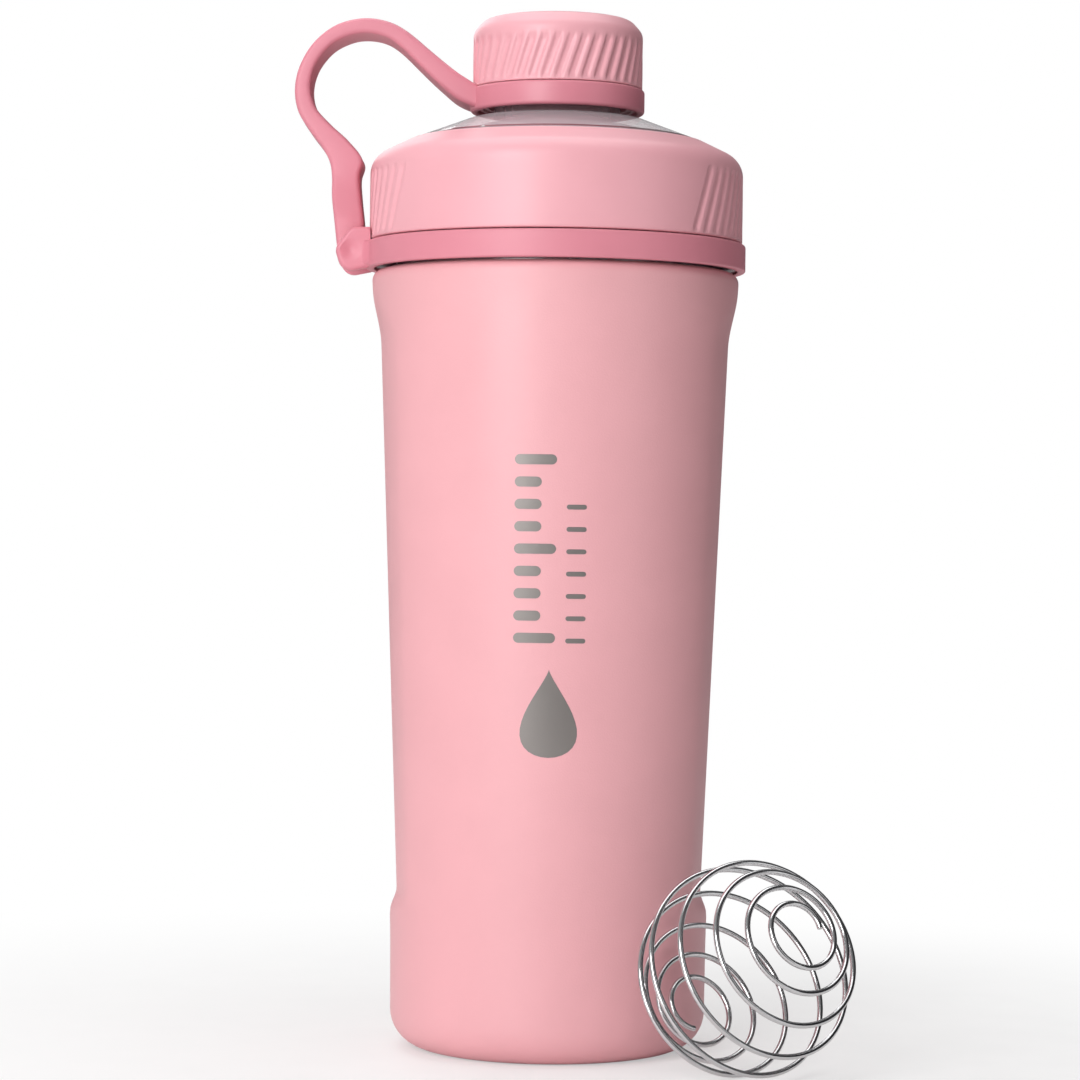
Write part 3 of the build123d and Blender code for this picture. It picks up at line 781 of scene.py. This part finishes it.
def build_clear_lid():
    """Build the clear moulding: skirt, dome and spout in one, with both its threads."""
    skirt = (
        (SKIRT_BORE_R, SKIRT_BOTTOM, 0.2), (BEAD_R, SKIRT_BOTTOM, 0.2),
        (BEAD_R, SKIRT_BOTTOM + BEAD_HEIGHT, 0.1), (SKIRT_R, SKIRT_BOTTOM + 2 * BEAD_HEIGHT, 0.2),
    )
    dome = (
        (DOME_EDGE_R, DOME_FOOT, 0.0), (DOME_EDGE_R, DOME_EDGE_TOP, 0.5),
        (DOME_TOP_R, DOME_TOP, 6.0),
    )
    spout = (
        (SPOUT_R, SPOUT_ROOT, 0.8), (SPOUT_R, SPOUT_TOP, 0.5),
        (SPOUT_BORE_R, SPOUT_TOP, 0.5), (SPOUT_BORE_R, SPOUT_BORE_LOW, 1.6),
    )
    plug = (
        (PLUG_BORE_R, PLUG_BORE_TOP, 1.0), (PLUG_BORE_R, PLUG_BOTTOM, 0.3),
        (PLUG_R, PLUG_BOTTOM, 0.3), (PLUG_R, SEAT, 0.2), (SKIRT_BORE_R, SEAT, 0.2),
    )
    outline = skirt + LID_SHOULDER + dome + spout + DOME_UNDERSIDE + plug
    pieces = [turned("clear_wall", round_corners(outline), PLAIN_SEGMENTS)]
    for start in THREAD_STARTS:
        pieces.append(thread_ridge("lid_thread", start, **LID_THREAD))
        pieces.append(thread_ridge("spout_thread", start, **SPOUT_THREAD))
    place(join("clear_lid", pieces), "lid", "clear_plastic", clear_plastic, "lid_body")


# ------------------------------------------------------------------ spout cap


def cap_ribs(angle, r, z):
    """Return the cap's radius with leaning flutes between its ribs."""
    if r < CAP_R - CAP_RIB_REACH:
        return r
    rise, stands = rib_height(z, CAP_RIB_Z, CAP_RIB_ENDS)
    ribs_along = (angle - CAP_RIB_LEAN * rise) * CAP_RIBS / (2 * math.pi)
    return r - CAP_RIB_DEPTH * groove_depth(ribs_along, CAP_GROOVE) * stands


def build_cap():
    """Build the cap's ribbed shell, from the middle of its top down and back up inside."""
    outline = (
        (0.0, CAP_TOP, 0.0),
        (CAP_CROWN_R, CAP_TOP - CAP_CROWN_DROP, 3.0),
        (CAP_R, CAP_TOP - CAP_ROUND_DROP, 3.2),
        (CAP_R, CAP_LEDGE, 0.35),
        (CAP_NECK_R, CAP_LEDGE, 0.15),
        (CAP_NECK_R, CAP_BOTTOM, 0.3),
        (CAP_INSIDE_R, CAP_BOTTOM, 0.2),
        (CAP_INSIDE_R, CAP_CEILING, 0.3),
        (0.0, CAP_CEILING, 0.0),
    )
    profile = fill_in(round_corners(outline, closed=False), RIBBED_STEP, closed=False)
    cap = turned("cap_shell", profile, CAP_SEGMENTS, cap_ribs, closed=False)
    place(cap, "cap", "cap_plastic", lid_plastic, "spout_cap")


# ------------------------------------------------------------------ carry ring and knuckle


def hull_outline(circles):
    """Return the outline, in the XZ plane, of the tightest band round some circles."""
    rim = []
    for x, z, radius in circles:
        for k in range(KNUCKLE_CIRCLE_STEPS):
            turn = 2 * math.pi * k / KNUCKLE_CIRCLE_STEPS
            rim.append((x + radius * math.cos(turn), z + radius * math.sin(turn)))
    rim = sorted(set(rim))
    halves = []
    for points in (rim, rim[::-1]):
        half = []
        for p in points:
            while len(half) > 1:
                (ax, az), (bx, bz) = half[-2:]
                turns_left = (bx - ax) * (p[1] - az) - (bz - az) * (p[0] - ax) > 1e-9
                if turns_left:
                    break
                half.pop()
            half.append(p)
        halves.append(half[:-1])
    return [Vector(p) for p in halves[0] + halves[1]]


def clear_of_lid(x, y, z):
    """Push a knuckle point out of the collar above the ring or the body below it."""
    ring_top = RING_BAND[1] - KNUCKLE_OVERLAP
    near = KNUCKLE_OVER_R if z > ring_top else KNUCKLE_UNDER_R
    if RING_BAND[0] < z < ring_top or math.hypot(x, y) > near:
        return (x, y, z)
    return (-math.sqrt(near * near - y * y), y, z)


def drawn_in(outline, shrink, share=1.0):
    """Return the outline's (x, z) points drawn in towards the cheek's middle.

    Each point moves in by `shrink` mm, then to `share` of the way out.
    """
    points = []
    for p in outline:
        away = p - CHEEK_MIDDLE
        points.append(CHEEK_MIDDLE + away.normalized() * (away.length - shrink) * share)
    return points


def cheek(name, outline, inner_y, outer_y):
    """Return one rounded knuckle cheek with a shallow dish in its outer face."""
    side = math.copysign(1.0, outer_y)
    levels = [
        (inner_y, drawn_in(outline, CHEEK_SLOT_EDGE)),
        (inner_y + side * CHEEK_SLOT_EDGE, drawn_in(outline, 0.0)),
    ]
    for k in range(CHEEK_EDGE_STEPS + 1):
        turn = math.pi / 2 * k / CHEEK_EDGE_STEPS
        y = outer_y - side * CHEEK_EDGE * (1 - math.sin(turn))
        levels.append((y, drawn_in(outline, CHEEK_EDGE * (1 - math.cos(turn)))))
    sections = [[clear_of_lid(p.x, y, p.y) for p in points] for y, points in levels]
    for k in range(1, CHEEK_FACE_STEPS + 1):
        section = []
        for p in drawn_in(outline, CHEEK_EDGE, 1 - k / (CHEEK_FACE_STEPS + 0.3)):
            depth = DISH_DEPTH * (1 - smooth_step(0.0, DISH_R, (p - DISH_CENTRE).length))
            section.append(clear_of_lid(p.x, outer_y - side * depth, p.y))
        sections.append(section)
    return section_tube(name, sections, sharp_deg=60.0)


def ring_web(side):
    """Return the fillet that runs from a cheek's outer face into the ring's band."""
    plan = round_corners(WEB_PLAN)
    sections = []
    for z, inset in WEB_LEVELS:
        sections.append(
            [(p.x + inset, -side * (p.y + inset * WEB_SIDE_INSET), z) for p in plan]
        )
    return section_tube("ring_web", sections, sharp_deg=50.0)


def knuckle_root():
    """Return the block behind the slot that joins both cheeks to the ring's band."""
    edge_y = ROOT_HALF_Y - ROOT_EDGE
    levels = (
        (-ROOT_HALF_Y, ROOT_EDGE), (-edge_y, 0.0), (0.0, 0.0), (edge_y, 0.0),
        (ROOT_HALF_Y, ROOT_EDGE),
    )
    sections = []
    for y, inset in levels:
        low = ROOT_Z[0] + inset
        high = ROOT_Z[1] - inset
        sections.append([
            (ROOT_X[1], y, low), (ROOT_X[0], y, low), (ROOT_X[0], y, high), (ROOT_X[1], y, high),
        ])
    return section_tube("knuckle_root", sections)


def build_carry_ring():
    """Build the ring's band with its two-cheek knuckle."""
    band = (
        (RING_BORE_R, RING_RELIEF_TOP, 0.1), (RING_RELIEF_R, RING_RELIEF_TOP, 0.1),
        (RING_RELIEF_R, RING_BAND[0], 0.2), (RING_R, RING_BAND[0], 0.45),
        (RING_R, RING_BAND[1], 0.7), (RING_BORE_R, RING_BAND[1], 0.3),
    )
    pieces = [turned("ring_band", round_corners(band), PLAIN_SEGMENTS)]
    outline = fill_in(hull_outline(KNUCKLE_CIRCLES), KNUCKLE_STEP)
    for side in (-1, 1):
        pieces.append(cheek("cheek", outline, side * SLOT_HALF_Y, side * KNUCKLE_HALF_Y))
        pieces.append(ring_web(side))
    pieces.append(knuckle_root())
    place(join("carry_band", pieces), "ring", "ring_plastic", loop_plastic, "carry_ring")


# ------------------------------------------------------------------ carry loop


def smooth_path(stations, steps):
    """Return a smooth curve through 2D stations (Catmull-Rom)."""
    ends = [stations[0] * 2 - stations[1]] + list(stations) + [stations[-1] * 2 - stations[-2]]
    path = []
    for i in range(1, len(ends) - 2):
        a, b, c, d = ends[i - 1 : i + 3]
        for k in range(steps):
            t = k / steps
            path.append(
                (b * 2 + (c - a) * t + (a * 2 - b * 5 + c * 4 - d) * t * t
                 + (b * 3 - a - c * 3 + d) * t**3) / 2
            )
    path.append(stations[-1])
    return path


def strap_section(outer, inner, half_y, end_bend):
    """Return a rounded-rectangle loop between the outer and inner edges.

    As end_bend goes from 0 to 1, the loop bends to follow the curve of the cap ring.
    """
    centre = (outer + inner) / 2
    half_t = (outer - inner).length / 2
    across = (outer - inner).normalized()
    edge = min(STRAP_EDGE, half_t * STRAP_EDGE_SHARE)
    loop = []
    for corner in range(4):
        corner_y = (half_y - edge) * (1 if corner in (0, 3) else -1)
        corner_t = (half_t - edge) * (1 if corner in (0, 1) else -1)
        for k in range(STRAP_EDGE_STEPS + 1):
            turn = math.pi / 2 * (corner + k / STRAP_EDGE_STEPS)
            y = corner_y + edge * math.cos(turn)
            p = centre + across * (corner_t + edge * math.sin(turn))
            bend = end_bend * (STRAP_END_R - math.sqrt(STRAP_END_R**2 - y * y))
            loop.append((p.x + bend, y, p.y))
    return loop


def build_strap():
    """Return the strap, narrower at its foot, where it goes between the cheeks."""
    outer = smooth_path([Vector(s[0]) for s in STRAP], STRAP_STEPS)
    inner = smooth_path([Vector(s[1]) for s in STRAP], STRAP_STEPS)
    count = len(outer)
    sections = []
    for i, (a, b) in enumerate(zip(outer, inner)):
        end_bend = smooth_step(STRAP_END_FROM, 1.0, i / (count - 1))
        widen = smooth_step(*STRAP_TAPER_Z, a.y)
        half_y = TANG_HALF_Y + (STRAP_HALF_Y - TANG_HALF_Y) * widen
        sections.append(strap_section(a, b, half_y, end_bend))
    return section_tube("strap", sections, sharp_deg=40.0)


def build_loop():
    """Build the carry loop: the strap, and its upper ring round the cap."""
    middle = (CAP_RING_R + CAP_RING_BORE_R) / 2
    low, high = CAP_RING_BAND
    ring = (
        (CAP_RING_BORE_R, low, 0.4), (middle, low, 0.0), (CAP_RING_R, low, 0.8),
        (CAP_RING_R, high, 0.7), (middle, high, 0.0), (CAP_RING_BORE_R, high, 0.4),
    )
    strap = build_strap()
    band = turned("cap_ring", round_corners(ring), SMALL_SEGMENTS)
    loop = join("carry_strap", [strap, band])
    place(loop, "loop", "loop_elastomer", loop_plastic, "carry_loop")


# ------------------------------------------------------------------ whisk ball


def ball_wire():
    """Return the wire's centre line, with its coils closer together at the two poles."""
    path_r = BALL_R - WIRE_R
    first = END_LOOP_R / path_r
    x_dir = Vector((0, 0, 1)).cross(BALL_POLE).normalized()
    y_dir = BALL_POLE.cross(x_dir)
    path = []
    for k in range(WIRE_STEPS + 1):
        share = k / WIRE_STEPS
        eased = share - BALL_CROWDING * math.sin(2 * math.pi * share) / (2 * math.pi)
        polar = first + (math.pi - 2 * first) * eased
        turn = 2 * math.pi * BALL_TURNS * share
        path.append(
            BALL_CENTRE
            + x_dir * path_r * math.sin(polar) * math.cos(turn)
            + y_dir * path_r * math.sin(polar) * math.sin(turn)
            + BALL_POLE * path_r * math.cos(polar)
        )
    return path


def build_ball():
    """Build the wire ball: a round section carried along the wire without twisting."""
    path = ball_wire()
    sections = []
    normal = BALL_POLE
    for i, point in enumerate(path):
        ahead = (path[min(i + 1, len(path) - 1)] - path[max(i - 1, 0)]).normalized()
        normal = (normal - ahead * normal.dot(ahead)).normalized()
        side = ahead.cross(normal)
        loop = []
        for k in range(WIRE_SIDES):
            turn = 2 * math.pi * k / WIRE_SIDES
            loop.append(point + (normal * math.cos(turn) + side * math.sin(turn)) * WIRE_R)
        sections.append(loop)
    ball = section_tube("wire_ball", sections, sharp_deg=60.0)
    place(ball, "whisk", "whisk_steel", whisk_steel, "whisk_ball")


# ------------------------------------------------------------------ build the pieces

build_body()
build_mark()
build_collar()
build_clear_lid()
build_cap()
build_carry_ring()
build_loop()
build_ball()

CAD_LOOKS = {
    "inner_liner": liner_steel,
    "outer_bottom": plain_steel,
    "vacuum_getter": plain_steel,
    "lid_seal": silicone,
    "cap_core": lid_plastic,
    "cap_gasket": silicone,
    "hinge_pin": loop_plastic,
}
for node, material in CAD_LOOKS.items():
    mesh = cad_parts[node].data
    mesh.materials.clear()
    mesh.materials.append(material)

# ------------------------------------------------------------------ floor, light, camera, m

FLOOR_HALF = 3.0
FLOOR_DROP = 0.00002
FLOOR_COLOUR = (0.92, 0.915, 0.91)
FLOOR_FADE = (0.04, 0.30)
FLOOR_NEAR_WHITE = 0.45

WORLD_STRENGTH = 0.55
WORLD_LEFT = (0.1, (0.80, 0.80, 0.80, 1.0))
WORLD_RIGHT = (0.9, (0.05, 0.05, 0.055, 1.0))

LIGHT_AIM = Vector((0.0, 0.0, 0.12))
# name, place, width and height, watts
LIGHTS = (
    ("key", (-0.42, -0.85, 0.45), (0.40, 0.70), 7.0),
    ("top", (0.00, 0.05, 0.75), (0.60, 0.60), 2.4),
    ("fill", (0.70, -0.55, 0.30), (0.25, 0.70), 0.5),
    ("back", (-0.35, 0.85, 0.62), (0.50, 0.60), 1.7),
)

CAMERA_PLACE = (-0.0030, -0.800, 0.1235)
CAMERA_ROLL_DEG = -0.67
CAMERA_LENS_MM = 112.0
CAMERA_SENSOR_MM = 36.0
CAMERA_SHIFT_Y = -0.013
CAMERA_CLIP = 0.05


def floor_material():
    """Return a pale finish that the camera sees fade into the white background."""
    material = grained(
        "pale_floor", FLOOR_COLOUR, roughness=0.6, grain_scale=700.0, grain_depth=0.00002)
    n = Nodes(material.node_tree)
    where = n.add("ShaderNodeTexCoord")
    reach = n.add("ShaderNodeVectorMath", operation="LENGTH")
    n.feed(where.outputs["Object"], reach.inputs[0])
    fade = n.spread(
        reach.outputs["Value"], FLOOR_FADE, FLOOR_NEAR_WHITE, 1.0,
        interpolation_type="SMOOTHSTEP")
    seen = n.maths("MULTIPLY", fade, n.add("ShaderNodeLightPath").outputs["Is Camera Ray"])
    white = n.add("ShaderNodeEmission").outputs["Emission"]
    surface = n.mix_shaders(seen, n.shader.outputs["BSDF"], white)
    n.feed(surface, n.tree.nodes["Material Output"].inputs["Surface"])
    return material


def build_floor():
    """Build a large flat floor just under the bottle."""
    half = FLOOR_HALF / MM
    corners = ((-half, -half), (half, -half), (half, half), (-half, half))
    floor = new_mesh("floor", [(x, y, -FLOOR_DROP / MM) for x, y in corners], [(0, 1, 2, 3)])
    floor.data.materials.append(floor_material())


def build_world():
    """Build a world that looks white to the camera; as light, it is dim on the right."""
    world = bpy.data.worlds.new("studio")
    bpy.context.scene.world = world
    world.use_nodes = True
    world.node_tree.nodes.clear()
    n = Nodes(world.node_tree)
    where = n.add("ShaderNodeTexCoord")
    split = n.add("ShaderNodeSeparateXYZ")
    n.feed(where.outputs["Generated"], split.inputs["Vector"])
    ramp = n.add("ShaderNodeValToRGB")
    for stop, (position, colour) in zip(ramp.color_ramp.elements, (WORLD_LEFT, WORLD_RIGHT)):
        stop.position = position
        stop.color = colour
    n.feed(n.spread(split.outputs["X"], (-1.0, 1.0), 0.0, 1.0), ramp.inputs["Fac"])
    lit = n.add("ShaderNodeBackground", Strength=WORLD_STRENGTH)
    n.feed(ramp.outputs["Color"], lit.inputs["Color"])
    plain = n.add("ShaderNodeBackground", Strength=1.0)
    n.feed((1.0, 1.0, 1.0), plain.inputs["Color"])
    path = n.add("ShaderNodeLightPath")
    seen = n.maths(
        "MAXIMUM", path.outputs["Is Camera Ray"], path.outputs["Is Transmission Ray"])
    surface = n.mix_shaders(seen, lit.outputs["Background"], plain.outputs["Background"])
    n.feed(surface, n.add("ShaderNodeOutputWorld").inputs["Surface"])


def area_light(name, place_m, size_m, watts):
    """Build a soft rectangular light aimed at the middle of the bottle."""
    light = bpy.data.lights.new(name, "AREA")
    light.shape = "RECTANGLE"
    light.size, light.size_y = size_m
    light.energy = watts
    holder = bpy.data.objects.new(name, light)
    holder.location = place_m
    holder.rotation_euler = (LIGHT_AIM - Vector(place_m)).to_track_quat("-Z", "Y").to_euler()
    bpy.context.scene.collection.objects.link(holder)


def build_camera():
    """Build the camera: a long lens, level with the bottle's middle and 0.8 m away."""
    data = bpy.data.cameras.new("camera")
    data.sensor_width = CAMERA_SENSOR_MM
    data.lens = CAMERA_LENS_MM
    data.shift_y = CAMERA_SHIFT_Y
    data.clip_start = CAMERA_CLIP
    camera = bpy.data.objects.new("camera", data)
    camera.location = CAMERA_PLACE
    camera.rotation_euler = (math.radians(90.0), math.radians(CAMERA_ROLL_DEG), 0.0)
    bpy.context.scene.collection.objects.link(camera)
    bpy.context.scene.camera = camera


build_floor()
build_world()
build_camera()
for name, place_m, size_m, watts in LIGHTS:
    area_light(name, place_m, size_m, watts)

view = bpy.context.scene.view_settings
view.view_transform = "Standard"
view.exposure = 0.0
